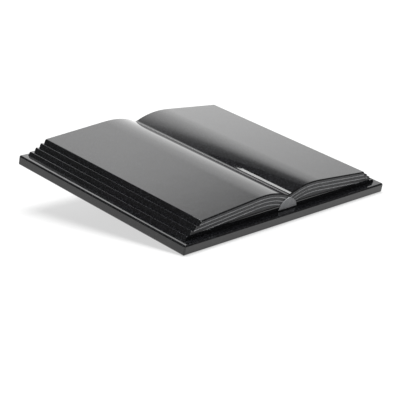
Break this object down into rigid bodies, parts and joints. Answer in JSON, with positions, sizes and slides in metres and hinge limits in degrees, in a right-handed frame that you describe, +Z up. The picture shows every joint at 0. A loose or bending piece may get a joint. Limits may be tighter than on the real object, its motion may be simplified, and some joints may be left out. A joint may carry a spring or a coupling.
{
  "type": "granite book memorial",
  "caption": "Open book with blank pages, carved from black granite and glued on a thin slab that a small foot tilts towards the reader; a grave ornament that stands by its own weight.",
  "frame": {"origin": "on the ground, in the middle of the bounding box", "axes": "+X to the reader's right along the front edge, +Y away from the reader, +Z up"},
  "size_m": [0.4, 0.2958, 0.1009],
  "materials": {
    "polished_granite": "mirror polished",
    "honed_granite": "honed, not polished"
  },
  "bodies": {
    "root": {"base_slab": "polished_granite", "book": "polished_granite", "rear_foot": "honed_granite"}
  },
  "joints": []
}
